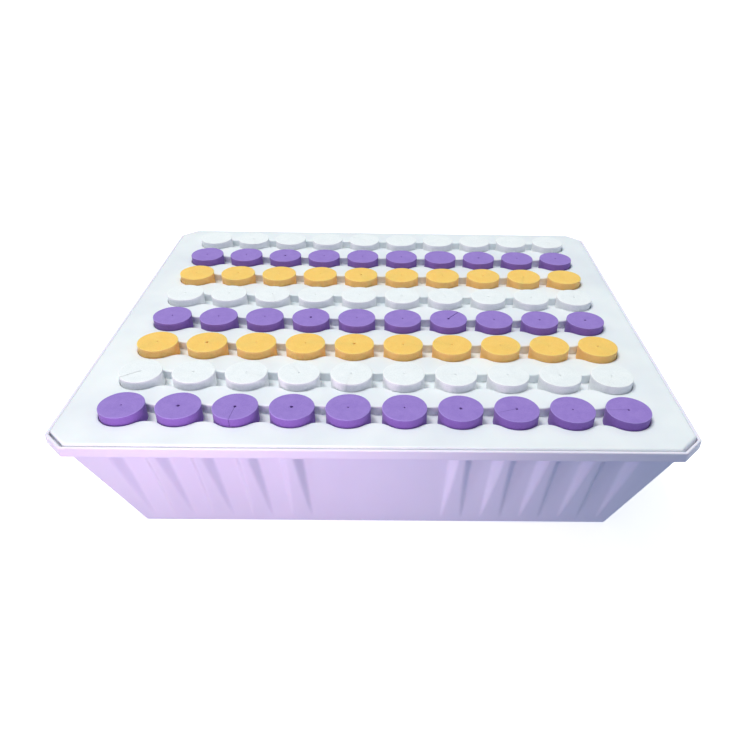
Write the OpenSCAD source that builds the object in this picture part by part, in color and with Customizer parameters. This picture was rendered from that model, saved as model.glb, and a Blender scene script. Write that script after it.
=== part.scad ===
// Foam-plug storage box: a tapered fluted tub, a drop-in deck with channelled
// pockets, and eight rows of ten round split foam plugs.
// Origin at the middle of the tub's base, +X along a row of plugs, front at -Y.

/* [Plug grid] */
// Plugs in one row, along X
plugs_per_row = 10; // [10]
// Distance between plugs along a row
pitch_x = 37; // [36:0.5:37.5]
// Distance between rows
pitch_y = 41.6; // [38:0.1:41.6]
// Diameter of a foam plug
plug_d = 30; // [26:0.5:30]
// Thickness of a foam plug
plug_h = 12.3; // [9:0.1:16]
// Diameter of the stem hole pierced through a plug
pin_d = 2; // [1:0.2:3]
// Width of the slit from the stem hole to the plug's edge
slit_w = 0.4; // [0.2:0.1:0.8]

/* [Deck] */
// Outer width of the deck along X
deck_w = 411.4; // [409:0.1:411.8]
// Outer depth of the deck along Y
deck_d = 359.4; // [357:0.1:359.8]
// Height of the deck's top face above the table
deck_top = 100; // [99:0.5:103]
// Thickness of the deck's top skin and of its skirt
skin = 2.2; // [1.5:0.1:2.5]
// Depth of the plug pockets and of the necks between them
pocket_depth = 6.6; // [5:0.1:7]
// Play between a plug and its pocket, all round
pocket_play = 0.3; // [0.3:0.05:0.6]
// Width of the necks that join the pockets of one row
neck_w = 17.4; // [12:0.2:20]
// Thickness of the pocket walls and floors
pocket_wall = 1.8; // [1.2:0.1:1.8]
// Diameter of the hole under each plug
drain_d = 22; // [16:1:24]

/* [Tub] */
// Half width of the tub's base along X
base_x = 170; // [168:0.1:171]
// Half depth of the tub's base along Y
base_y = 142.2; // [141:0.1:143]
// Draft of the walls in degrees
draft = 18; // [17.5:0.1:18.5]
// Thickness of the tub's walls
wall = 2.2; // [1.8:0.1:2.4]
// Thickness of the tub's bottom
bottom = 2.5; // [2:0.1:4]
// Chamfer across the tub's upright corners
body_chamfer = 1.5; // [1:0.5:4]
// Outer width of the rim along X
rim_w = 417; // [417:0.5:420]
// Outer depth of the rim along Y
rim_d = 365; // [365:0.5:368]
// Chamfer across the rim's corners
rim_chamfer = 14; // [12:0.5:16]
// Height of the rim's lower edge above the table
rim_low = 91.8; // [91:0.1:92]
// Height of the rim's lip above the table
rim_top = 99; // [98:0.1:99.5]
// Thickness of the ledge the deck rests on
ledge_t = 2; // [1.5:0.1:2.5]
// Thickness of the upright lip around the deck
lip_t = 2.2; // [1.8:0.1:2.2]

/* [Flutes] */
// Depth of a flute where it meets the rim
flute_depth = 5.5; // [3:0.1:5.5]
// Height at which a flute has faded into the wall
flute_start = 7; // [5:0.5:20]
// Half width of the plain panel in the middle of a wall, at the rim
panel_half = 53; // [48:0.5:53]
// Distance from one rib to the next
rib_pitch = 29.1; // [28:0.1:29.1]
// Width of a rib's face at the rim
rib_face = 4.5; // [3:0.5:8]
// Ribs on each half of the front and back walls
ribs_long = 4; // [2:1:4]
// Ribs on each half of the side walls
ribs_short = 3; // [2:1:3]

/* [Hidden] */
$fn = 64;
rows = 8;
single_rows = 5;
// Longer than the box in any direction
far = 900;
// How far a cutter or a joining shape reaches past the face it meets
over = 1;
// How far a flute's cutter reaches past the wall and its ends
flute_over = 6;
// Share of an inset by which the corner cut of an outline shrinks
corner_share = 0.6;
slope = tan(draft);
pocket_r = plug_d / 2 + pocket_play;
floor_z = deck_top - pocket_depth;
ledge_z = rim_low + ledge_t;
// The nose between two necks is one arc that runs smoothly into both pockets.
nose_r = ((neck_w / 2) ^ 2 + (pitch_x / 2) ^ 2 - pocket_r ^ 2) / (2 * pocket_r - neck_w);
nose_y = neck_w / 2 + nose_r;
nose_a = atan2(pitch_x / 2, nose_y);
// A nose reaches just into the pocket's circle, so the two arcs truly cross.
nose_lap = 0.02;
// A flute's floor leans less than the wall, so the flute fades out downwards.
flute_slope = slope - flute_depth / (rim_low - flute_start);
row_colours = ["#9478d0", "#eef3f6", "#f5cb76"];

function col_x(c) = (c - (plugs_per_row + 1) / 2) * pitch_x;
function row_y(r) = (r - (rows + 1) / 2) * pitch_y;
function row_colour(r) = row_colours[(r - 1) % 3];
function plug_name(r, c) = str("plug_row", r, "_col", c < 10 ? "0" : "", c);
// Plugs are dropped in by hand, so each slit points its own way. A few are
// set: row, column, direction.
set_slits = [[1, 3, 265], [1, 8, 200], [1, 10, 182], [2, 1, 215], [4, 7, 52]];
function set_angle(r, c) = [for (s = set_slits) if (s[0] == r && s[1] == c) s[2]];
function slit_angle(r, c) =
    len(set_angle(r, c)) > 0 ? set_angle(r, c)[0] : (r * 137 + c * 83 + r * c * 29) % 360;

// Rectangle with its four corners cut at 45 degrees
module cut_rect(w, d, c) {
    polygon([
        [c - w / 2, -d / 2], [w / 2 - c, -d / 2],
        [w / 2, c - d / 2], [w / 2, d / 2 - c],
        [w / 2 - c, d / 2], [c - w / 2, d / 2],
        [-w / 2, d / 2 - c], [-w / 2, c - d / 2]
    ]);
}

// Upright trapezoid from z0 to z1, h is its half width at z = 0
module side_profile(h, s, z0, z1) {
    polygon([
        [-h - s * z0, z0], [h + s * z0, z0],
        [h + s * z1, z1], [-h - s * z1, z1]
    ]);
}

// Block with four leaning sides
module taper_block(hx, hy, s, z0, z1) {
    intersection() {
        rotate([90, 0, 0])
            linear_extrude(height = far, center = true)
                side_profile(hx, s, z0, z1);
        rotate([90, 0, 90])
            linear_extrude(height = far, center = true)
                side_profile(hy, s, z0, z1);
    }
}

// Tapered tub shape with its upright corners chamfered, drawn in by inset
module tub_block(inset, z0, z1) {
    dx = base_x - inset;
    dy = base_y - inset;
    dc = (dx + dy - body_chamfer + inset * corner_share) / sqrt(2);
    intersection() {
        taper_block(dx, dy, slope, z0, z1);
        rotate([0, 0, 45])
            taper_block(dc, dc, slope * sqrt(2), z0, z1);
    }
}

// One flute cutter on a wall at distance h from the centre, from a to b along it
module flute(h, a, b, grow) {
    d = flute_depth + flute_over;
    g = grow * tan(22.5);
    translate([0, -h - flute_start * slope, flute_start])
        rotate([atan(flute_slope), 0, 0])
            translate([0, grow, grow > 0 ? -flute_over : -flute_over / 2])
                linear_extrude(height = rim_low + flute_over)
                    polygon([
                        [a + flute_depth - g, 0], [b - flute_depth + g, 0],
                        [b - flute_depth + g + d, -d], [a + flute_depth - g - d, -d]
                    ]);
}

// All flutes of one wall, the plain panel in its middle included
module wall_flutes(h, ribs, grow) {
    flute(h, -panel_half, panel_half, grow);
    for (k = [0 : ribs - 1]) {
        a = panel_half + rib_face + k * rib_pitch;
        b = panel_half + (k + 1) * rib_pitch;
        flute(h, a, b, grow);
        flute(h, -b, -a, grow);
    }
}

module all_flutes(grow) {
    wall_flutes(base_y, ribs_long, grow);
    rotate([0, 0, 180])
        wall_flutes(base_y, ribs_long, grow);
    rotate([0, 0, 90])
        wall_flutes(base_x, ribs_short, grow);
    rotate([0, 0, -90])
        wall_flutes(base_x, ribs_short, grow);
}

module tub() {
    draw_in = wall / cos(draft);
    color("#e8e6f5") {
        difference() {
            union() {
                difference() {
                    tub_block(0, 0, rim_low);
                    all_flutes(0);
                }
                translate([0, 0, rim_low])
                    linear_extrude(height = ledge_t)
                        cut_rect(rim_w, rim_d, rim_chamfer);
            }
            difference() {
                tub_block(draw_in, bottom, ledge_z + over);
                intersection() {
                    all_flutes(wall);
                    translate([-far / 2, -far / 2, 0])
                        cube([far, far, ledge_z + 2 * over]);
                }
            }
        }
        translate([0, 0, ledge_z])
            linear_extrude(height = rim_top - ledge_z)
                difference() {
                    cut_rect(rim_w, rim_d, rim_chamfer);
                    cut_rect(rim_w - 2 * lip_t, rim_d - 2 * lip_t, rim_chamfer - corner_share * lip_t);
                }
    }
}

// Outline of one row: ten pockets joined by nine waisted necks
module channel(grow) {
    r = pocket_r + grow;
    for (i = [1 : plugs_per_row])
        translate([col_x(i), 0])
            circle(r);
    for (i = [1 : plugs_per_row - 1])
        translate([(col_x(i) + col_x(i + 1)) / 2, 0])
            difference() {
                square([pitch_x - 2 * r * sin(nose_a) + 2 * over, 2 * r * cos(nose_a)], center = true);
                for (s = [-1, 1])
                    translate([0, s * nose_y])
                        circle(nose_r - grow + nose_lap);
            }
}

module deck() {
    color("#eaf0f5")
        difference() {
            union() {
                translate([0, 0, deck_top - skin])
                    linear_extrude(height = skin)
                        cut_rect(deck_w, deck_d, rim_chamfer);
                translate([0, 0, ledge_z])
                    linear_extrude(height = deck_top - skin - ledge_z)
                        difference() {
                            cut_rect(deck_w, deck_d, rim_chamfer);
                            cut_rect(deck_w - 2 * skin, deck_d - 2 * skin, rim_chamfer - corner_share * skin);
                        }
                for (r = [1 : rows])
                    translate([0, row_y(r), floor_z - pocket_wall])
                        linear_extrude(height = pocket_depth + pocket_wall - skin)
                            channel(pocket_wall);
            }
            for (r = [1 : rows]) {
                translate([0, row_y(r), floor_z])
                    linear_extrude(height = pocket_depth + over)
                        channel(0);
                for (c = [1 : plugs_per_row])
                    translate([col_x(c), row_y(r), floor_z - pocket_wall - over])
                        cylinder(h = pocket_wall + 2 * over, d = drain_d);
            }
        }
}

// Split foam plug: a disc with a stem hole and a slit from it to the edge
module foam_plug(angle) {
    difference() {
        cylinder(h = plug_h, d = plug_d);
        translate([0, 0, -over])
            cylinder(h = plug_h + 2 * over, d = pin_d, $fn = 24);
        rotate([0, 0, angle])
            translate([0, -slit_w / 2, -over])
                cube([plug_d, slit_w, plug_h + 2 * over]);
    }
}

module plug(r, c) {
    color(row_colour(r))
        translate([col_x(c), row_y(r), floor_z])
            foam_plug(slit_angle(r, c));
}

module plug_row(r) {
    for (c = [1 : plugs_per_row])
        plug(r, c);
}

tub();
deck();
for (r = [1 : single_rows], c = [1 : plugs_per_row])
    plug(r, c);
plug_row(6);  // plugs_row6
plug_row(7);  // plugs_row7
plug_row(8);  // plugs_row8
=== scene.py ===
import bpy, bmesh, math, random
from mathutils import Vector, Matrix


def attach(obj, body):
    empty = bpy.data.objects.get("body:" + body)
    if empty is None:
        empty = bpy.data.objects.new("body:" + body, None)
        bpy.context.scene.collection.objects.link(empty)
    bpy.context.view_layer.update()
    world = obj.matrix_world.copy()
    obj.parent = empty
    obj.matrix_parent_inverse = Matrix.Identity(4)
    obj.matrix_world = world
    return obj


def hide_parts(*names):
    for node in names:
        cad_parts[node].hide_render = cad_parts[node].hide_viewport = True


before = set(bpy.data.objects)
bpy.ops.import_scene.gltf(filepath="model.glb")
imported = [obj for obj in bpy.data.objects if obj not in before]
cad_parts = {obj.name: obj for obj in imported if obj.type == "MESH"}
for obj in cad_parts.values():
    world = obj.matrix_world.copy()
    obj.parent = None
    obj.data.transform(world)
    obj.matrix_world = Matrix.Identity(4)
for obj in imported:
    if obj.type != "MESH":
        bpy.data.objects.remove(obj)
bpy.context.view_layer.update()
mm = 0.001
cornerShare = 0.586  # share of an inset by which a 45 degree corner cut shrinks


def linear(hexColour):  # sRGB hex to linear colour
    parts = [int(hexColour[i:i + 2], 16) / 255 for i in (1, 3, 5)]
    return [c / 12.92 if c <= 0.04045 else ((c + 0.055) / 1.055) ** 2.4 for c in parts] + [1.0]


def addNode(tree, kind, settings=None, links=None):  # one node; inputs go by name or by number
    node = tree.nodes.new(kind)
    for key, value in (settings or {}).items():
        if isinstance(key, int) or key in node.inputs:
            node.inputs[key].default_value = value
        else:
            setattr(node, key, value)
    for key, source in (links or {}).items():
        tree.links.new(source, node.inputs[key])
    return node


def startMaterial(name, surface):  # a material with one principled surface
    material = bpy.data.materials.new(name)
    material.use_nodes = True
    tree = material.node_tree
    tree.nodes.clear()
    shader = addNode(tree, "ShaderNodeBsdfPrincipled", surface)
    addNode(tree, "ShaderNodeOutputMaterial", links={"Surface": shader.outputs[0]})
    coords = addNode(tree, "ShaderNodeTexCoord")
    return material, tree, shader, coords.outputs["Object"]


tubFinish = {
    "deep": "#e6e2f1", "pale": "#edeaf7",  # pigment drift in the moulding
    "grainMm": 0.9,   # spark-eroded mould grain is about 0.2 mm, drawn coarser so that it shows
    "grainRise": 0.0002, "grainBump": 0.12,
    "flowMm": 60,     # slow streaks where the melt ran down the wall
    "flowStretch": 4, "flowRise": 0.0012, "flowBump": 0.25,
    "roughness": 0.42, "rougher": 0.07, "smoother": 0.05,
    "refraction": 1.49, "soak": 0.08, "soakDepth": 0.002,
}


def makeTubPlastic(s):
    # polypropylene, injection moulded: satin, slightly waxy, soft highlights along the ribs
    material, tree, shader, place = startMaterial("polypropyleneMouldedLilac", {
        "Roughness": s["roughness"], "IOR": s["refraction"],
        "Subsurface Weight": s["soak"], "Subsurface Scale": s["soakDepth"]})
    squash = addNode(tree, "ShaderNodeMapping", {"Scale": (1.0, 1.0, 1 / s["flowStretch"])},
                     {"Vector": place})
    flow = addNode(tree, "ShaderNodeTexNoise", {"Scale": 1000 / s["flowMm"], "Detail": 3.0},
                   {"Vector": squash.outputs[0]})
    grain = addNode(tree, "ShaderNodeTexNoise",
                    {"Scale": 1000 / s["grainMm"], "Detail": 2.0, "Roughness": 0.6}, {"Vector": place})
    drift = addNode(tree, "ShaderNodeMapRange", {"From Min": 0.3, "From Max": 0.7},
                    {"Value": flow.outputs["Fac"]})
    colour = addNode(tree, "ShaderNodeMix",
                     {"data_type": "RGBA", 6: linear(s["deep"]), 7: linear(s["pale"])}, {0: drift.outputs[0]})
    gloss = addNode(tree, "ShaderNodeMapRange",
                    {"From Min": 0.3, "From Max": 0.7,
                     "To Min": s["roughness"] - s["smoother"], "To Max": s["roughness"] + s["rougher"]},
                    {"Value": flow.outputs["Fac"]})
    bump = addNode(tree, "ShaderNodeBump", {"Strength": s["grainBump"], "Distance": s["grainRise"]},
                   {"Height": grain.outputs["Fac"]})
    wave = addNode(tree, "ShaderNodeBump", {"Strength": s["flowBump"], "Distance": s["flowRise"]},
                   {"Height": flow.outputs["Fac"], "Normal": bump.outputs[0]})
    tree.links.new(colour.outputs[2], shader.inputs["Base Color"])
    tree.links.new(gloss.outputs[0], shader.inputs["Roughness"])
    tree.links.new(wave.outputs[0], shader.inputs["Normal"])
    return material


deckFinish = {
    "deep": "#e3e9ef", "pale": "#eef3f6",
    "grainMm": 1.2,   # fine leather-like mould grain, drawn at about twice its real size
    "grainRise": 0.0002, "grainBump": 0.10,
    "warpMm": 45,     # long soft waves where the thin skin shrank between the pockets
    "warpRise": 0.0010, "warpBump": 0.35,
    "dustMm": 2.6,    # faint specks and scuffs
    "roughness": 0.36, "rougher": 0.10, "smoother": 0.06,
    "refraction": 1.55, "soak": 0.06, "soakDepth": 0.002,
}


def makeDeckPlastic(s):
    # high-impact polystyrene, moulded thin: cool white with a soft gloss and slow ripples
    material, tree, shader, place = startMaterial("polystyreneMouldedWhite", {
        "Roughness": s["roughness"], "IOR": s["refraction"],
        "Subsurface Weight": s["soak"], "Subsurface Scale": s["soakDepth"]})
    warp = addNode(tree, "ShaderNodeTexNoise", {"Scale": 1000 / s["warpMm"], "Detail": 2.0},
                   {"Vector": place})
    grain = addNode(tree, "ShaderNodeTexNoise",
                    {"Scale": 1000 / s["grainMm"], "Detail": 3.0, "Roughness": 0.65}, {"Vector": place})
    dust = addNode(tree, "ShaderNodeTexVoronoi", {"Scale": 1000 / s["dustMm"], "Randomness": 1.0},
                   {"Vector": place})
    drift = addNode(tree, "ShaderNodeMapRange", {"From Min": 0.3, "From Max": 0.7},
                    {"Value": warp.outputs["Fac"]})
    colour = addNode(tree, "ShaderNodeMix",
                     {"data_type": "RGBA", 6: linear(s["deep"]), 7: linear(s["pale"])}, {0: drift.outputs[0]})
    gloss = addNode(tree, "ShaderNodeMapRange",
                    {"From Min": 0.0, "From Max": 0.9,
                     "To Min": s["roughness"] - s["smoother"], "To Max": s["roughness"] + s["rougher"]},
                    {"Value": dust.outputs["Distance"]})
    bump = addNode(tree, "ShaderNodeBump", {"Strength": s["grainBump"], "Distance": s["grainRise"]},
                   {"Height": grain.outputs["Fac"]})
    wave = addNode(tree, "ShaderNodeBump", {"Strength": s["warpBump"], "Distance": s["warpRise"]},
                   {"Height": warp.outputs["Fac"], "Normal": bump.outputs[0]})
    tree.links.new(colour.outputs[2], shader.inputs["Base Color"])
    tree.links.new(gloss.outputs[0], shader.inputs["Roughness"])
    tree.links.new(wave.outputs[0], shader.inputs["Normal"])
    return material


foamFinish = {
    # soak is the share of the light that sinks in, reach how far its red, green and blue run; cut is the
    # colour of the sides, painted darker on purple and lighter on white and orange for the light and shade
    # that fall on them
    # rim is a painted highlight, a lighter band along the foam's top edge
    "purple": {"skin": "#9a80ce", "skinDeep": "#9278c8", "cut": "#8866b8", "rim": "#a18ad3",
               "soak": 0.0, "reach": (1.0, 1.0, 1.0)},
    "white": {"skin": "#eef3f5", "skinDeep": "#e9eff2", "cut": "#f6f9fd", "rim": "#f6f9fa",
              "soak": 0.4, "reach": (0.25, 0.25, 0.25)},
    "orange": {"skin": "#f8cc6c", "skinDeep": "#f5c664", "cut": "#ffca7c", "rim": "#fad37c",
               "soak": 0.5, "reach": (0.6, 0.4, 0.2)},
    "soakDepth": 0.006,
    "cellMm": 0.9,    # foam cells are about 0.3 mm, drawn coarser so that they show
    "cellRise": 0.0003, "cellBump": 0.35,
    "pitShade": 0.90,  # a cell is this bright in its middle, compared with its edge
    "mottleMm": 7,    # patches of open and closed cells
    "roughness": 0.82, "refraction": 1.42, "specular": 0.3,
    "sheen": 0.12, "sheenRoughness": 0.5,
}


def makeFoam(colour, s):
    # closed-cell EVA foam, die cut from sheet: dead matt skin, tiny pits with painted shade in them, a
    # painted highlight along the top edge, and the cut side in a colour of its own, painted darker on purple
    # and lighter on white and orange for the light and shade on the sides
    tones = s[colour]
    material, tree, shader, place = startMaterial("evaFoamDieCut" + colour.capitalize(), {
        "Roughness": s["roughness"], "IOR": s["refraction"], "Specular IOR Level": s["specular"],
        "Sheen Weight": s["sheen"], "Sheen Roughness": s["sheenRoughness"],
        "Subsurface Weight": tones["soak"], "Subsurface Radius": tones["reach"],
        "Subsurface Scale": s["soakDepth"]})
    mottle = addNode(tree, "ShaderNodeTexNoise",
                     {"Scale": 1000 / s["mottleMm"], "Detail": 4.0, "Roughness": 0.7}, {"Vector": place})
    cells = addNode(tree, "ShaderNodeTexVoronoi", {"Scale": 1000 / s["cellMm"]}, {"Vector": place})
    sideShadingMask = addNode(tree, "ShaderNodeAttribute", {"attribute_name": "paintedSideShading"})
    edgeHighlightMask = addNode(tree, "ShaderNodeAttribute", {"attribute_name": "paintedEdgeHighlight"})
    patch = addNode(tree, "ShaderNodeMapRange", {"From Min": 0.35, "From Max": 0.65},
                    {"Value": mottle.outputs["Fac"]})
    # painted shade: each foam cell is darker in its middle
    paintedPitShade = addNode(tree, "ShaderNodeMapRange",
                   {"From Min": 0.0, "From Max": 0.55, "To Min": s["pitShade"], "To Max": 1.0},
                   {"Value": cells.outputs["Distance"]})
    skin = addNode(tree, "ShaderNodeMix",
                   {"data_type": "RGBA", 6: linear(tones["skinDeep"]), 7: linear(tones["skin"])},
                   {0: patch.outputs[0]})
    # the sides and hole walls take the side colour: painted shading for how light falls on them
    body = addNode(tree, "ShaderNodeMix", {"data_type": "RGBA", 7: linear(tones["cut"])},
                   {0: sideShadingMask.outputs["Fac"], 6: skin.outputs[2]})
    # a painted highlight: a lighter band along the top edge of each plug
    edge = addNode(tree, "ShaderNodeMix", {"data_type": "RGBA", 7: linear(tones["rim"])},
                   {0: edgeHighlightMask.outputs["Fac"], 6: body.outputs[2]})
    pitShadedColour = addNode(tree, "ShaderNodeMix", {"data_type": "RGBA", "blend_type": "MULTIPLY", 0: 1.0},
                     {6: edge.outputs[2], 7: paintedPitShade.outputs[0]})
    bump = addNode(tree, "ShaderNodeBump", {"Strength": s["cellBump"], "Distance": s["cellRise"]},
                   {"Height": cells.outputs["Distance"]})
    tree.links.new(pitShadedColour.outputs[2], shader.inputs["Base Color"])
    tree.links.new(bump.outputs[0], shader.inputs["Normal"])
    return material


tubPlastic = makeTubPlastic(tubFinish)
deckPlastic = makeDeckPlastic(deckFinish)
foams = {c: makeFoam(c, foamFinish) for c in ("purple", "white", "orange")}
print("materials made")


def finishMesh(name, mesh, material, sharpAngle=50):  # smooth, but for edges sharper than the angle
    mesh.validate()
    mesh.update()
    mesh.materials.append(material)
    mesh.polygons.foreach_set("use_smooth", [True] * len(mesh.polygons))
    mesh.set_sharp_from_angle(angle=math.radians(sharpAngle))
    piece = bpy.data.objects.new(name, mesh)
    bpy.context.collection.objects.link(piece)
    return piece


def loftRings(rings):  # quads between closed rings of equal length, with both ends closed
    count = len(rings[0])
    points = [p for ring in rings for p in ring]
    faces = []
    for k in range(len(rings) - 1):
        for i in range(count):
            j = (i + 1) % count
            faces.append((k * count + i, k * count + j, (k + 1) * count + j, (k + 1) * count + i))
    faces.append(tuple(reversed(range(count))))
    faces.append(tuple(range((len(rings) - 1) * count, len(rings) * count)))
    return points, faces


def arc(cx, cz, r, a0, a1, n):  # points of an arc in a profile, angles in degrees
    return [(cx + r * math.cos(math.radians(a0 + (a1 - a0) * i / n)),
             cz + r * math.sin(math.radians(a0 + (a1 - a0) * i / n))) for i in range(n + 1)]


tubShape = {
    "baseX": 170, "baseY": 142.2, "draft": 18, "wall": 2.2, "bottom": 2.5,
    "bodyChamfer": 1.5, "bodyRound": 2.5,
    "rimX": 208.5, "rimY": 182.5, "rimChamfer": 14, "rimRound": 2.5,
    "rimLow": 91.8, "rimTop": 99, "ledgeTop": 93.8, "lip": 2.2,
    "fluteDepth": 6.2, "fluteStart": 6,
    "fluteSwell": 1.5,   # above 1 the flute deepens quickly at its foot and slowly near the rim
    "fluteSide": 0.85,   # run of a flute's side for each millimetre of depth
    "innerWiden": 0.9,   # a flute's floor is wider by this on the inside, each way
    "fan": 0.0005,       # the ribs spread by this share for each millimetre of height
    "panelHalf": 53, "ribFace": 4.5, "ribPitch": 29.1, "ribsLong": 4, "ribsShort": 3,
    "soften": 0.9,       # roundness of the flute edges
    "footRound": 2.5, "ledgeRound": 2.0, "rimEdge": 0.8, "lipRound": 0.9, "ledgeFillet": 0.6,
    "innerRound": 4.0,
    # heights of the loops on the outside and on the inside, and how far in the loops of the ends are drawn
    "outerLevels": (3.5, 5.5, 8, 11, 15, 20, 27, 35, 43, 51, 59, 67, 74, 80, 85, 88.5),
    "innerLevels": (93.1, 88, 82, 74, 66, 58, 50, 42, 34, 26, 20, 15, 11),
    "endShares": (0.93, 0.70, 0.38, 0.03),
    # the base stands on a rim round a slightly raised middle: out from the outline, height
    "footPanel": ((-12.5, 0.6), (-11, 0.6), (-10.2, 0.42), (-9.6, 0.12), (-9, 0), (-8.4, 0), (-3.2, 0)),
}


def fluteFloors(s, ribs, widen=0.0):  # the flat floor of every flute on a wall, from left to right
    side = s["fluteDepth"] * s["fluteSide"]
    floors = [(-s["panelHalf"] + side, s["panelHalf"] - side)]
    for k in range(ribs):
        a = s["panelHalf"] + s["ribFace"] + k * s["ribPitch"] + side
        b = s["panelHalf"] + (k + 1) * s["ribPitch"] - side
        floors += [(a, b), (-b, -a)]
    return sorted((a - widen, b + widen) for a, b in floors)


def softMin(a, b, k):  # the smaller of two numbers, rounded over where they meet
    h = max(k - abs(a - b), 0) / k
    return min(a, b) - h * h * k / 4


def fluteInset(floors, u, depth, soft, side):  # how far the wall is pushed in at u
    faded = 0.02
    if depth <= faded:
        return 0.0
    k = min(soft, depth * 1.2)
    best = 0.0
    for a, b in floors:
        beyond = max(a - u, u - b) / side
        if beyond < depth + k:
            best = max(best, -softMin(0, -softMin(depth, depth - beyond, k), k))
    return best


def wallStations(floors, run):  # places along a wall, close together on the flute sides
    closest, widest, step = 0.35, 6, (run + 1.6) / 7
    marks = {0.0}
    for a, b in floors:
        for edge, way in ((a, -1), (b, 1)):
            marks.update(round(edge + way * i * step, 3) for i in range(-2, 9))
    ordered = sorted(marks)
    places = [ordered[0]]
    for x in ordered[1:]:
        gap = x - places[-1]
        if gap < closest:
            continue
        n = int(gap // widest) + 1
        places += [places[-1] + gap * i / n for i in range(1, n)] + [x]
    return places


def turned(x, y, quarter):  # quarter turns about the middle of the box
    return [(x, y), (-y, x), (-x, -y), (y, -x)][quarter]


def wallRing(walls, hx, hy, cut, rounding, z, depth, soft, inner=False):  # one closed loop round the box
    t = rounding * math.tan(math.radians(22.5))
    ring = []
    for quarter in range(4):
        wall = walls[quarter % 2]
        h, e = (hy, hx) if quarter % 2 == 0 else (hx, hy)
        floors = wall["innerFloors"] if inner else wall["floors"]
        limit = e - cut - t - 0.4  # the wall's straight part ends just before its corner
        fan = 1 + wall["fan"] * (z - wall["fanFrom"])  # the ribs spread a little as the wall widens upwards
        last, core = wall["stations"][-1], wall["core"]
        for u in wall["stations"]:
            along = u * fan
            if abs(u) > core and last * fan > limit:  # the plain ends are pressed together to fit
                share = (abs(u) - core) / (last - core)
                along = math.copysign(core * fan + share * (limit - core * fan), u)
            x, y = turned(along, -h + fluteInset(floors, u, depth, soft, wall["side"]), quarter)
            ring.append(Vector((x, y, z)) * mm)
        corner = arc(e - cut - t, -h + rounding, rounding, -90, -45, 4)
        corner += arc(e - rounding, -h + cut + t, rounding, -45, 0, 4)
        ring += [Vector((*turned(x, y, quarter), z)) * mm for x, y in corner]
    return ring


def shrunk(ring, share):  # the same loop drawn in towards the middle of the box
    return [Vector((p.x * share, p.y * share, p.z)) for p in ring]


def makeTub(s):
    lean = s["draft"]
    slope, upright = math.tan(math.radians(lean)), math.cos(math.radians(lean))
    thick = s["wall"] / upright
    walls = []
    for ribs in (s["ribsLong"], s["ribsShort"]):
        floors = fluteFloors(s, ribs)
        walls.append({
            "side": s["fluteSide"], "fan": s["fan"], "fanFrom": s["rimLow"] / 2,
            "floors": floors, "innerFloors": fluteFloors(s, ribs, s["innerWiden"]),
            "stations": wallStations(floors, s["fluteDepth"] * s["fluteSide"]), "core": floors[-1][0] + 2})

    def body(out, z, inner=False):  # a loop on the body, out from the base outline
        up = min(max((z - s["fluteStart"]) / (s["rimLow"] - s["fluteStart"]), 0), 1)
        depth = s["fluteDepth"] * (1 - (1 - up) ** s["fluteSwell"])
        return wallRing(walls, s["baseX"] + out, s["baseY"] + out, s["bodyChamfer"], s["bodyRound"], z,
                        depth, s["soften"], inner)

    def rim(inward, z):  # a loop on the rim, inward from its outer face
        cut = s["rimChamfer"] - cornerShare * inward
        return wallRing(walls, s["rimX"] - inward, s["rimY"] - inward, cut, s["rimRound"], z, 0, 1)

    # the outside, from the base up to the rim
    rings = [body(out, z) for out, z in s["footPanel"]]
    r = s["footRound"]
    footIn = r * (1 - math.sin(math.radians(lean))) / upright
    rings += [body(x, z) for x, z in arc(-footIn, r, r, -90, -lean, 5)]
    rings += [body(z * slope, z) for z in s["outerLevels"]]
    r = s["ledgeRound"]
    cz = s["rimLow"] - r
    rings += [body(x, z) for x, z in arc(cz * slope + r / upright, cz, r, 180 - lean, 90, 5)]
    # the rim and its lip
    r = s["rimEdge"]
    rings.append(rim(2 * r, s["rimLow"]))
    rings += [rim(r - x, z) for x, z in arc(0, s["rimLow"] + r, r, -90, 0, 4)]
    rings += [rim(0, z) for z in (s["rimLow"] + 2.6, s["rimTop"] - 2.4)]
    r = s["lipRound"]
    rings += [rim(r - x, z) for x, z in arc(0, s["rimTop"] - r, r, 0, 90, 4)]
    rings += [rim(s["lip"] - r - x, z) for x, z in arc(0, s["rimTop"] - r, r, 90, 180, 4)]
    r, top = s["ledgeFillet"], s["ledgeTop"]
    rings += [rim(s["lip"] + r - x, z) for x, z in arc(0, top + r, r, 0, -90, 3)]
    rings.append(rim(s["lip"] + 1.4, top))
    # the inside, from the ledge down to the bottom
    mouth = top * slope - thick
    rings += [body(mouth + 1.4, top, True), body(mouth + 0.6, top, True), body(mouth + 0.15, top - 0.2, True)]
    rings += [body(z * slope - thick, z, True) for z in s["innerLevels"]]
    r = s["innerRound"]
    cz = s["bottom"] + r
    rings += [body(x, z, True) for x, z in arc(cz * slope - thick - r / upright, cz, r, -lean, -90, 5)]
    rings.append(body(-13, s["bottom"], True))
    under = [shrunk(rings[0], share) for share in reversed(s["endShares"])]
    inside = [shrunk(rings[-1], share) for share in s["endShares"]]
    points, faces = loftRings(under + rings + inside)
    mesh = bpy.data.meshes.new("tub")
    mesh.from_pydata(points, [], faces)
    tub = finishMesh("tubShell", mesh, tubPlastic, 60)
    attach(tub, "tub")
    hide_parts("tub")


makeTub(tubShape)
print("tub built")

deckShape = {
    "halfX": 206.0, "halfY": 180.0, "chamfer": 14.0, "cornerRound": 3.0,
    "top": 100, "skin": 2.2, "skirtLow": 93.8, "edgeRound": 1.6,
    "pitchX": 37, "pitchY": 41.6, "columns": 10, "rows": 8,
    "pocketR": 15.3, "neckWidth": 17.4, "pocketDepth": 6.6, "wall": 1.8,
    "mouthRound": 1.1,  # rolled edge round the pockets and necks
    "drainR": 11,
}


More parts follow.
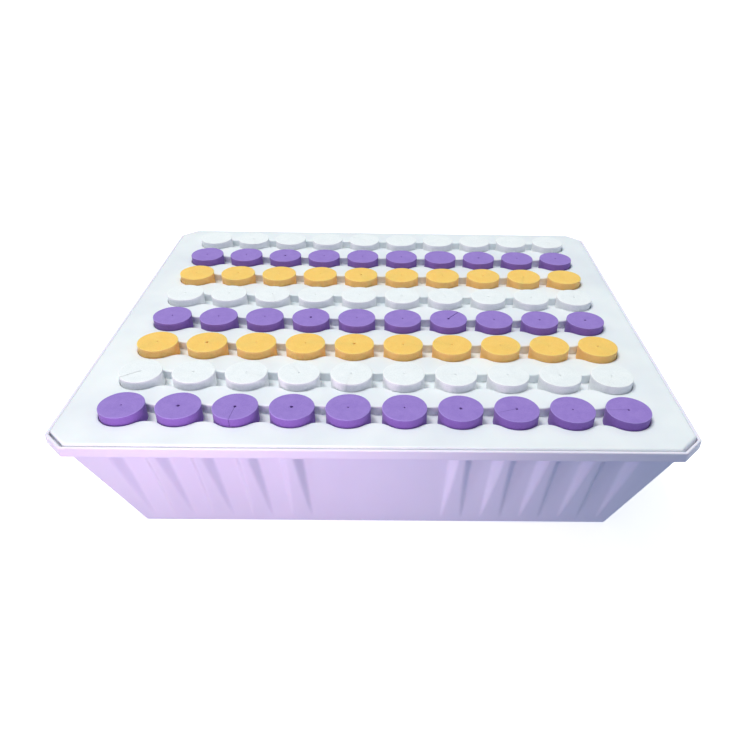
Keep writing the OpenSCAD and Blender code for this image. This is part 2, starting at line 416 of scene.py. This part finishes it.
def channelLoop(s, grow, z, y0):  # round one row of pockets and necks, anticlockwise
    r, half = s["pocketR"], s["pitchX"] / 2
    noseR = ((s["neckWidth"] / 2) ** 2 + half ** 2 - r ** 2) / (2 * r - s["neckWidth"])
    noseY = s["neckWidth"] / 2 + noseR
    lean = math.degrees(math.atan2(half, noseY))
    side = []
    for i in range(s["columns"]):
        x = (i - (s["columns"] - 1) / 2) * s["pitchX"]
        start = -180 if i == 0 else -90 - lean
        end = 0 if i == s["columns"] - 1 else -90 + lean
        side += arc(x, 0, r + grow, start, end, 12 if end - start < 100 else 20)
        if i < s["columns"] - 1:
            side += arc(x + half, -noseY, noseR - grow, 90 + lean, 90 - lean, 12)[1:-1]
    loop = side + [(x, -y) for x, y in reversed(side[1:-1])]
    return [Vector((x, y0 + y, z)) * mm for x, y in loop]


def deckLoop(s, inward, z):  # round the outer edge of the deck, anticlockwise
    hx, hy = s["halfX"] - inward, s["halfY"] - inward
    cut, rounding = s["chamfer"] - cornerShare * inward, s["cornerRound"]
    t = rounding * math.tan(math.radians(22.5))
    loop = []
    for quarter in range(4):
        h, e = (hy, hx) if quarter % 2 == 0 else (hx, hy)
        span = e - cut - t
        line = [(-span + 2 * span * i / 24, -h) for i in range(1, 24)]
        corner = arc(span, -h + rounding, rounding, -90, -45, 5)
        corner += arc(e - rounding, -h + cut + t, rounding, -45, 0, 5)
        loop += [Vector((*turned(x, y, quarter), z)) * mm for x, y in line + corner]
    return loop


def circleLoop(x0, y0, r, z):  # round one drain hole, anticlockwise
    n = 32
    return [Vector((x0 + x, y0 + y, z)) * mm for x, y in arc(0, 0, r, 0, 360 - 360 / n, n - 1)]


def addLoops(bm, loops):  # skins a list of loops and gives back the first and last one's edges
    made = [[bm.verts.new(p) for p in loop] for loop in loops]
    n = len(made[0])
    for a, b in zip(made, made[1:]):
        for i in range(n):
            j = (i + 1) % n
            bm.faces.new((a[i], a[j], b[j], b[i]))
    return [[bm.edges.get((ring[i], ring[(i + 1) % n])) for i in range(n)] for ring in (made[0], made[-1])]


def fillFlat(bm, edges, up):  # a flat face between loops, holes left open
    bmesh.ops.triangle_fill(bm, use_beauty=True, use_dissolve=False, edges=edges, normal=(0, 0, up))


def makeDeck(s):
    bm = bmesh.new()
    top, skinLow, low = s["top"], s["top"] - s["skin"], s["skirtLow"]
    floor = top - s["pocketDepth"]
    under = floor - s["wall"]
    m, e, w = s["mouthRound"], s["edgeRound"], s["wall"]
    # the skirt and the outer edge, from under the skin round to the top: inward, height
    t = s["skin"]
    profile = [(t + 1.0, skinLow), (t + 0.4, skinLow), (t, skinLow - 0.4), (t, low + 0.5), (t - 0.4, low),
               (0.5, low), (0.1, low + 0.15), (0, low + 0.5), (0, low + 1.5), (0, top - e - 0.6)]
    profile += [(e - x, z) for x, z in arc(0, top - e, e, 0, 90, 6)] + [(e + 0.5, top)]
    underEdges, topEdges = addLoops(bm, [deckLoop(s, inward, z) for inward, z in profile])
    for row in range(s["rows"]):
        y0 = (row - (s["rows"] - 1) / 2) * s["pitchY"]
        # the inside of the pockets and necks, then their outside under the deck: outward, height
        mouth = [(m + 0.4, top)] + [(m - x, z) for x, z in arc(0, top - m, m, 90, 0, 5)]
        mouth += [(0, floor + 1.2), (0, floor + 0.3), (-0.1, floor + 0.1), (-0.3, floor), (-0.6, floor)]
        floorEdges, mouthEdges = addLoops(bm, [channelLoop(s, g, z, y0) for g, z in reversed(mouth)])
        outside = [(w + 0.6, skinLow), (w + 0.25, skinLow), (w, skinLow - 0.25), (w, under + 0.6),
                   (w - 0.15, under + 0.15), (w - 0.6, under), (w - 1.0, under)]
        rootEdges, underFloorEdges = addLoops(bm, [channelLoop(s, g, z, y0) for g, z in outside])
        topEdges += mouthEdges
        underEdges += rootEdges
        for i in range(s["columns"]):
            x0 = (i - (s["columns"] - 1) / 2) * s["pitchX"]
            d = s["drainR"]
            drain = [(d + 0.7, floor), (d + 0.3, floor), (d, floor - 0.3),
                     (d, under + 0.3), (d + 0.3, under), (d + 0.7, under)]
            a, b = addLoops(bm, [circleLoop(x0, y0, r, z) for r, z in drain])
            floorEdges += a
            underFloorEdges += b
        fillFlat(bm, floorEdges, 1)
        fillFlat(bm, underFloorEdges, -1)
    fillFlat(bm, topEdges, 1)
    fillFlat(bm, underEdges, -1)
    bmesh.ops.recalc_face_normals(bm, faces=bm.faces)
    mesh = bpy.data.meshes.new("deck")
    bm.to_mesh(mesh)
    bm.free()
    deck = finishMesh("deckShell", mesh, deckPlastic, 40)
    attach(deck, "deck")
    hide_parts("deck")


makeDeck(deckShape)
print("deck built")

plugShape = {
    "radius": 15, "height": 12.3, "floor": 93.4, "segments": 44,
    "hole": 0.45, "boldHole": 0.95,    # stem hole, closed up or left open
    "slit": 0.02,                      # the cut closes by itself nearly everywhere
    "nip": 0.02,                       # how far the foam dips beside the cut
    "cutLip": 0.45,                    # width of the foam beside the cut that dips
    "tilt": 0.010, "lift": 0.35,       # how unevenly the plugs sit in their pockets
    "wobble": 0.10, "crown": 0.12, "ripple": 0.05,
    # plugs whose stem hole or slit shows more: row, column, and for slits the direction and width
    "boldHoles": [(1, 2), (1, 4), (1, 7), (1, 3), (3, 2), (4, 4), (4, 7), (7, 3), (3, 5)],
    "faintHoles": [(1, 8), (1, 10), (3, 6), (4, 9), (4, 10), (7, 8),
                   (3, 10), (6, 2), (6, 5), (6, 8), (7, 10)],
    "openSlits": {(1, 3): (265, 0.22), (1, 10): (182, 0.22), (2, 1): (215, 0.55),
                  (4, 7): (52, 0.6), (1, 8): (200, 0.18)},
}
rowColours = ["purple", "white", "orange"]
singleRows = 5  # further rows share one node each


def addPlug(points, faces, cut, rim, s, row, col):  # adds one split plug to the lists
    dice = random.Random(row * 100 + col)
    x0 = (col - (deckShape["columns"] + 1) / 2) * deckShape["pitchX"]
    y0 = (row - (deckShape["rows"] + 1) / 2) * deckShape["pitchY"]
    anyTurn = (row * 137 + col * 83 + row * col * 29) % 360
    turn, slit = s["openSlits"].get((row, col), (anyTurn, s["slit"]))
    hole = s["hole"] * dice.uniform(0.7, 1.1)
    if (row, col) in s["boldHoles"]:
        hole = s["boldHole"] * dice.uniform(0.9, 1.05)
    elif (row, col) in s["faintHoles"]:
        hole = s["boldHole"] * dice.uniform(0.6, 0.75)
    edge, tall = s["radius"], s["height"]
    tiltX, tiltY = dice.uniform(-1, 1) * s["tilt"], dice.uniform(-1, 1) * s["tilt"]
    lift = dice.uniform(0.2, 1) * s["lift"]
    crown = dice.uniform(-0.6, 1) * s["crown"]
    phase = [dice.uniform(0, 6.28) for _ in range(3)]
    # radius, height, share of the side colour with its painted light and shade, share of the painted edge
    # highlight
    profile = [
        (hole, tall - 0.9, 1, 0), (hole + 0.12, tall - 0.30, 0.5, 0),
        (hole + 0.6, tall - 0.06, 0, 0), (hole + 1.6, tall, 0, 0),
        (edge * 0.4, tall, 0, 0), (edge * 0.68, tall, 0, 0), (edge * 0.88, tall, 0, 0),
        (edge - 0.75, tall, 0, 0), (edge - 0.32, tall - 0.03, 0, 1), (edge - 0.08, tall - 0.16, 0.4, 1),
        (edge, tall - 0.5, 1, 0.1), (edge - 0.12, tall - 2.2, 1, 0), (edge - 0.2, tall * 0.5, 1, 0),
        (edge - 0.1, 1.6, 1, 0), (edge, 0.4, 1, 0), (edge - 0.3, 0, 1, 0),
        (edge * 0.6, 0, 0, 0), (hole, 0, 1, 0), (hole, tall * 0.5, 1, 0)]
    n = s["segments"]
    base = len(points)
    for r, z, side, light in profile:
        gap = math.asin(min(slit / 2 / r, 0.6))
        near = gap + min(s["cutLip"] / r, 0.35)
        angles = [near + (2 * math.pi - 2 * near) * i / (n - 3) for i in range(n - 2)]
        out = r / edge
        for i, a in enumerate([gap] + angles + [2 * math.pi - gap]):
            rr, zz = r, z
            if r > edge * 0.5:
                wave = 0.6 * math.sin(2 * a + phase[0]) + 0.4 * math.sin(3 * a + phase[1]) - 0.4
                rr += s["wobble"] * out ** 2 * wave
            if z > tall * 0.7:
                zz += crown * (1 - out ** 2) + tiltX * r * math.cos(a) + tiltY * r * math.sin(a)
                zz += s["ripple"] * math.sin(5 * a + phase[2]) * out ** 3
                if i in (0, n - 1) and hole + 1 < r < edge:
                    zz -= s["nip"]
            b = a + math.radians(turn)
            place = Vector((x0 + rr * math.cos(b), y0 + rr * math.sin(b), s["floor"] + zz + lift))
            points.append(place * mm)
            cut.append(side)
            rim.append(light)
    k = len(profile)
    for p in range(k):
        q = (p + 1) % k
        for i in range(n - 1):
            faces.append((base + p * n + i, base + p * n + i + 1, base + q * n + i + 1, base + q * n + i))
    # the two faces of the slit
    faces.append(tuple(base + p * n for p in range(k)))
    faces.append(tuple(base + p * n + n - 1 for p in reversed(range(k))))


def makePlugs(s, name, row, cols):
    points, faces, cut, rim = [], [], [], []
    for col in cols:
        addPlug(points, faces, cut, rim, s, row, col)
    colour = rowColours[(row - 1) % 3]
    mesh = bpy.data.meshes.new(name)
    mesh.from_pydata(points, [], faces)
    for label, values in (("paintedSideShading", cut), ("paintedEdgeHighlight", rim)):
        mesh.attributes.new(label, "FLOAT", "POINT").data.foreach_set("value", values)
    bm = bmesh.new()
    bm.from_mesh(mesh)
    bmesh.ops.recalc_face_normals(bm, faces=bm.faces)
    bm.to_mesh(mesh)
    bm.free()
    piece = finishMesh("foam_" + name, mesh, foams[colour], 48)
    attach(piece, name)
    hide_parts(name)


for row in range(1, deckShape["rows"] + 1):
    columns = range(1, deckShape["columns"] + 1)
    if row <= singleRows:
        for col in columns:
            makePlugs(plugShape, "plug_row%d_col%02d" % (row, col), row, [col])
    else:
        makePlugs(plugShape, "plugs_row%d" % row, row, columns)
print("foam plugs built")

studio = {
    "floor": "#fafafc", "floorHalf": 30.0, "floorGlow": 0.62, "backdropRadius": 12.0, "backdropGlow": 1.3,
    # sky colours by direction: overhead, left, right and from below, with their strengths
    "over": ("#fafefc", 0.66), "left": ("#c0dcff", 0.17),
    "right": ("#60a4f8", 0.32), "below": ("#6fa2ec", 0.36),
    # a close soft lamp at the front left, a low one that rakes over the ribs, and a wide one far overhead
    "key": {"at": (-0.17, -0.60, 0.125), "aim": (-0.14, -0.16, 0.05),
            "size": 0.08, "watts": 6.3, "tint": "#ffdbf5", "beam": 79},
    "rake": {"at": (-0.55, -0.42, 0.025), "aim": (0.11, -0.16, 0.05),
             "size": 0.03, "watts": 3.9, "tint": "#dedcff", "beam": 18},
    "top": {"at": (-1.40, 0.60, 4.60), "aim": (0.0, 0.0, 0.08),
            "size": 1.4, "watts": 128.0, "tint": "#fffffb", "beam": 180},
}


def makeSky(s):  # soft room light that comes mostly from overhead and from the left
    world = bpy.data.worlds.new("studioLight")
    bpy.context.scene.world = world
    world.use_nodes = True
    tree = world.node_tree
    coords = addNode(tree, "ShaderNodeTexCoord")
    split = addNode(tree, "ShaderNodeSeparateXYZ", links={"Vector": coords.outputs["Generated"]})
    directions = ("over", "left", "right", "below")
    scaled = {k: [c * s[k][1] for c in linear(s[k][0])[:3]] + [1] for k in directions}
    # each step blends the colour so far with one more, as the direction goes from low to high
    steps = (("X", -0.8, 0.8, "right"), ("Z", 0.1, 0.8, "over"), ("Z", 0.0, -0.45, "below"))
    soFar = None
    for axis, low, high, to in steps:
        share = addNode(tree, "ShaderNodeMapRange",
                        {"From Min": low, "From Max": high, "interpolation_type": "SMOOTHSTEP"},
                        {"Value": split.outputs[axis]})
        mix = addNode(tree, "ShaderNodeMix", {"data_type": "RGBA", 6: scaled["left"], 7: scaled[to]},
                      {0: share.outputs[0]})
        if soFar:
            tree.links.new(soFar.outputs[2], mix.inputs[6])
        soFar = mix
    tree.links.new(soFar.outputs[2], tree.nodes["Background"].inputs[0])


def stagePiece(name, bm, surface):  # a piece of the room, not of the object
    mesh = bpy.data.meshes.new(name)
    bm.to_mesh(mesh)
    bm.free()
    material = startMaterial(name, surface)[0]
    piece = finishMesh(name, mesh, material)
    return piece


def makeLamp(name, s):
    soft = s["beam"] < 180  # a narrow lamp fades out towards the edge of its beam
    light = bpy.data.lights.new(name + "Light", "SPOT" if soft else "AREA")
    light.energy = s["watts"]
    light.color = linear(s["tint"])[:3]
    if soft:
        light.shadow_soft_size, light.spot_size, light.spot_blend = s["size"], math.radians(s["beam"]), 1.0
    else:
        light.shape, light.size = "SQUARE", s["size"]
    lamp = bpy.data.objects.new(name + "Light", light)
    lamp.location = s["at"]
    lamp.rotation_euler = (Vector(s["aim"]) - Vector(s["at"])).to_track_quat("-Z", "Y").to_euler()
    bpy.context.collection.objects.link(lamp)


def makeStudio(s):
    bm = bmesh.new()
    bmesh.ops.create_grid(bm, x_segments=2, y_segments=2, size=s["floorHalf"])
    floor = stagePiece("studioFloor", bm, {
        "Base Color": linear(s["floor"]), "Roughness": 0.9, "Specular IOR Level": 0.1,
        "Emission Color": (1, 1, 1, 1), "Emission Strength": s["floorGlow"]})
    floor.visible_diffuse = False  # the sky from below lights the walls instead
    bm = bmesh.new()
    bmesh.ops.create_uvsphere(bm, u_segments=48, v_segments=24, radius=s["backdropRadius"])
    backdrop = stagePiece("studioBackdrop", bm, {
        "Base Color": (0, 0, 0, 1), "Specular IOR Level": 0.0,
        "Emission Color": linear(s["floor"]), "Emission Strength": s["backdropGlow"]})
    backdrop.visible_diffuse = backdrop.visible_glossy = backdrop.visible_shadow = False  # it lights nothing
    makeSky(s)
    for name in ("key", "rake", "top"):
        makeLamp(name, s[name])
    bpy.context.scene.view_settings.view_transform = "Standard"


makeStudio(studio)

# where the camera stands, its turns in degrees and its lens
camera = {"at": (0.0085, -0.5185, 0.3705), "down": 32.6, "right": 1.1, "roll": 1.2,
          "lens": 33.5, "shiftX": -0.0361, "nearest": 0.01}


def makeCamera(s):
    data = bpy.data.cameras.new("camera")
    data.lens, data.shift_x, data.clip_start = s["lens"], s["shiftX"], s["nearest"]
    down, right, roll = (math.radians(s[k]) for k in ("down", "right", "roll"))
    ahead = Vector((math.sin(right) * math.cos(down), math.cos(right) * math.cos(down), -math.sin(down)))
    side = ahead.cross(Vector((0, 0, 1))).normalized()
    up = side.cross(ahead)
    rolledSide = side * math.cos(roll) + up * math.sin(roll)
    rolledUp = up * math.cos(roll) - side * math.sin(roll)
    turn = Matrix((rolledSide, rolledUp, -ahead)).transposed().to_4x4()
    holder = bpy.data.objects.new("camera", data)
    holder.matrix_world = Matrix.Translation(s["at"]) @ turn
    bpy.context.collection.objects.link(holder)
    bpy.context.scene.camera = holder


makeCamera(camera)
print("studio set")
